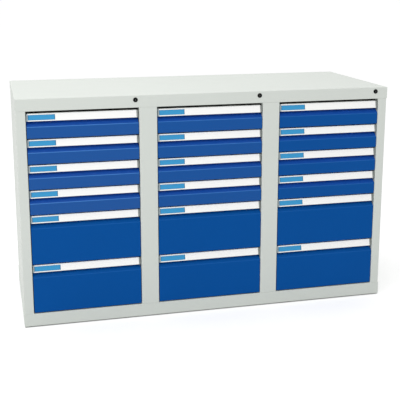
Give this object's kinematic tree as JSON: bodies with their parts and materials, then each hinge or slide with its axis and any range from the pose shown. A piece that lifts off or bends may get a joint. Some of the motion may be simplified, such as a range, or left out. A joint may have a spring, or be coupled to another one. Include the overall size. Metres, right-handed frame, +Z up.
{
  "type": "drawer cabinet",
  "caption": "Wide steel cabinet with columns of full-width drawers, grip strips with label holders, a cam lock over each column, a folded cover and a plinth.",
  "frame": {"origin": "under the middle of the bounding box, on the floor", "axes": "+X to the right seen from the front, +Y to the back, +Z up; the drawers open towards -Y"},
  "size_m": [1.5, 0.603, 0.9],
  "materials": {
    "cabinet_grey": "fine satin powder coat",
    "drawer_blue": "smooth satin powder coat",
    "grip_aluminium": "satin, white lacquered",
    "galvanised_steel": "zinc plated",
    "zinc_screw": "bright zinc",
    "glide_plastic": "matte nylon",
    "foot_black": "matte",
    "tray_grey": "satin powder coat",
    "label_card": "white card behind a clear strip",
    "label_blue": "light blue printed field, bare of text",
    "cap_grey": "matte moulded",
    "lock_metal": "satin nickel"
  },
  "bodies": {
    "cabinet": {"top_cover": "cabinet_grey", "base_plinth": "cabinet_grey", "left_side_panel": "cabinet_grey", "right_side_panel": "cabinet_grey", "divider_left": "cabinet_grey", "divider_right": "cabinet_grey", "back_panel": "cabinet_grey", "back_screws": "zinc_screw", "levelling_feet": "foot_black", "uprights": "galvanised_steel", "left_column_runners": "galvanised_steel", "middle_column_runners": "galvanised_steel", "right_column_runners": "galvanised_steel", "runner_glides": "glide_plastic", "lock_housings": "lock_metal"},
    "drawer_left_1": {"drawer_left_1_tray": "drawer_blue", "drawer_left_1_grip": "grip_aluminium"},
    "drawer_left_2": {"drawer_left_2_tray": "drawer_blue", "drawer_left_2_grip": "grip_aluminium"},
    "drawer_left_3": {"drawer_left_3_tray": "drawer_blue", "drawer_left_3_grip": "grip_aluminium"},
    "drawer_left_4": {"drawer_left_4_tray": "drawer_blue", "drawer_left_4_grip": "grip_aluminium"},
    "drawer_left_5": {"drawer_left_5_tray": "drawer_blue", "drawer_left_5_grip": "grip_aluminium"},
    "drawer_left_6": {"drawer_left_6_tray": "drawer_blue", "drawer_left_6_grip": "grip_aluminium"},
    "lock_left": {"lock_plug_left": "lock_metal", "lock_cam_left": "galvanised_steel"},
    "bar_left": {"lock_bar_left": "galvanised_steel"},
    "drawer_middle_1": {"drawer_middle_1_tray": "drawer_blue", "drawer_middle_1_grip": "grip_aluminium"},
    "drawer_middle_2": {"drawer_middle_2_tray": "drawer_blue", "drawer_middle_2_grip": "grip_aluminium"},
    "drawer_middle_3": {"drawer_middle_3_tray": "drawer_blue", "drawer_middle_3_grip": "grip_aluminium"},
    "drawer_middle_4": {"drawer_middle_4_tray": "drawer_blue", "drawer_middle_4_grip": "grip_aluminium"},
    "drawer_middle_5": {"drawer_middle_5_tray": "drawer_blue", "drawer_middle_5_grip": "grip_aluminium"},
    "drawer_middle_6": {"drawer_middle_6_tray": "drawer_blue", "drawer_middle_6_grip": "grip_aluminium"},
    "lock_middle": {"lock_plug_middle": "lock_metal", "lock_cam_middle": "galvanised_steel"},
    "bar_middle": {"lock_bar_middle": "galvanised_steel"},
    "drawer_right_1": {"drawer_right_1_tray": "drawer_blue", "drawer_right_1_grip": "grip_aluminium"},
    "drawer_right_2": {"drawer_right_2_tray": "drawer_blue", "drawer_right_2_grip": "grip_aluminium"},
    "drawer_right_3": {"drawer_right_3_tray": "drawer_blue", "drawer_right_3_grip": "grip_aluminium"},
    "drawer_right_4": {"drawer_right_4_tray": "drawer_blue", "drawer_right_4_grip": "grip_aluminium"},
    "drawer_right_5": {"drawer_right_5_tray": "drawer_blue", "drawer_right_5_grip": "grip_aluminium"},
    "drawer_right_6": {"drawer_right_6_tray": "drawer_blue", "drawer_right_6_grip": "grip_aluminium"},
    "lock_right": {"lock_plug_right": "lock_metal", "lock_cam_right": "galvanised_steel"},
    "bar_right": {"lock_bar_right": "galvanised_steel"}
  },
  "joints": [
    {"name": "drawer_left_1_slide", "type": "slide", "parent": "cabinet", "child": "drawer_left_1", "axis": [0, -1, 0], "range_m": [0, 0.42]},
    {"name": "drawer_left_2_slide", "type": "slide", "parent": "cabinet", "child": "drawer_left_2", "axis": [0, -1, 0], "range_m": [0, 0.42]},
    {"name": "drawer_left_3_slide", "type": "slide", "parent": "cabinet", "child": "drawer_left_3", "axis": [0, -1, 0], "range_m": [0, 0.42]},
    {"name": "drawer_left_4_slide", "type": "slide", "parent": "cabinet", "child": "drawer_left_4", "axis": [0, -1, 0], "range_m": [0, 0.42]},
    {"name": "drawer_left_5_slide", "type": "slide", "parent": "cabinet", "child": "drawer_left_5", "axis": [0, -1, 0], "range_m": [0, 0.42]},
    {"name": "drawer_left_6_slide", "type": "slide", "parent": "cabinet", "child": "drawer_left_6", "axis": [0, -1, 0], "range_m": [0, 0.42]},
    {"name": "lock_left_turn", "type": "hinge", "parent": "cabinet", "child": "lock_left", "pos_m": [-0.298, -0.2985, 0.883], "axis": [0, 1, 0], "range_deg": [0, 90]},
    {"name": "bar_left_lift", "type": "slide", "parent": "cabinet", "child": "bar_left", "axis": [0, 0, 1], "range_m": [0, 0.012]},
    {"name": "drawer_middle_1_slide", "type": "slide", "parent": "cabinet", "child": "drawer_middle_1", "axis": [0, -1, 0], "range_m": [0, 0.42]},
    {"name": "drawer_middle_2_slide", "type": "slide", "parent": "cabinet", "child": "drawer_middle_2", "axis": [0, -1, 0], "range_m": [0, 0.42]},
    {"name": "drawer_middle_3_slide", "type": "slide", "parent": "cabinet", "child": "drawer_middle_3", "axis": [0, -1, 0], "range_m": [0, 0.42]},
    {"name": "drawer_middle_4_slide", "type": "slide", "parent": "cabinet", "child": "drawer_middle_4", "axis": [0, -1, 0], "range_m": [0, 0.42]},
    {"name": "drawer_middle_5_slide", "type": "slide", "parent": "cabinet", "child": "drawer_middle_5", "axis": [0, -1, 0], "range_m": [0, 0.42]},
    {"name": "drawer_middle_6_slide", "type": "slide", "parent": "cabinet", "child": "drawer_middle_6", "axis": [0, -1, 0], "range_m": [0, 0.42]},
    {"name": "lock_middle_turn", "type": "hinge", "parent": "cabinet", "child": "lock_middle", "pos_m": [0.2, -0.2985, 0.883], "axis": [0, 1, 0], "range_deg": [0, 90]},
    {"name": "bar_middle_lift", "type": "slide", "parent": "cabinet", "child": "bar_middle", "axis": [0, 0, 1], "range_m": [0, 0.012]},
    {"name": "drawer_right_1_slide", "type": "slide", "parent": "cabinet", "child": "drawer_right_1", "axis": [0, -1, 0], "range_m": [0, 0.42]},
    {"name": "drawer_right_2_slide", "type": "slide", "parent": "cabinet", "child": "drawer_right_2", "axis": [0, -1, 0], "range_m": [0, 0.42]},
    {"name": "drawer_right_3_slide", "type": "slide", "parent": "cabinet", "child": "drawer_right_3", "axis": [0, -1, 0], "range_m": [0, 0.42]},
    {"name": "drawer_right_4_slide", "type": "slide", "parent": "cabinet", "child": "drawer_right_4", "axis": [0, -1, 0], "range_m": [0, 0.42]},
    {"name": "drawer_right_5_slide", "type": "slide", "parent": "cabinet", "child": "drawer_right_5", "axis": [0, -1, 0], "range_m": [0, 0.42]},
    {"name": "drawer_right_6_slide", "type": "slide", "parent": "cabinet", "child": "drawer_right_6", "axis": [0, -1, 0], "range_m": [0, 0.42]},
    {"name": "lock_right_turn", "type": "hinge", "parent": "cabinet", "child": "lock_right", "pos_m": [0.698, -0.2985, 0.883], "axis": [0, 1, 0], "range_deg": [0, 90]},
    {"name": "bar_right_lift", "type": "slide", "parent": "cabinet", "child": "bar_right", "axis": [0, 0, 1], "range_m": [0, 0.012]}
  ],
  "couplings": [
    {"joint": "lock_left_turn", "follows": "bar_left_lift", "rad_per_m": 130.9},
    {"joint": "lock_middle_turn", "follows": "bar_middle_lift", "rad_per_m": 130.9},
    {"joint": "lock_right_turn", "follows": "bar_right_lift", "rad_per_m": 130.9}
  ]
}
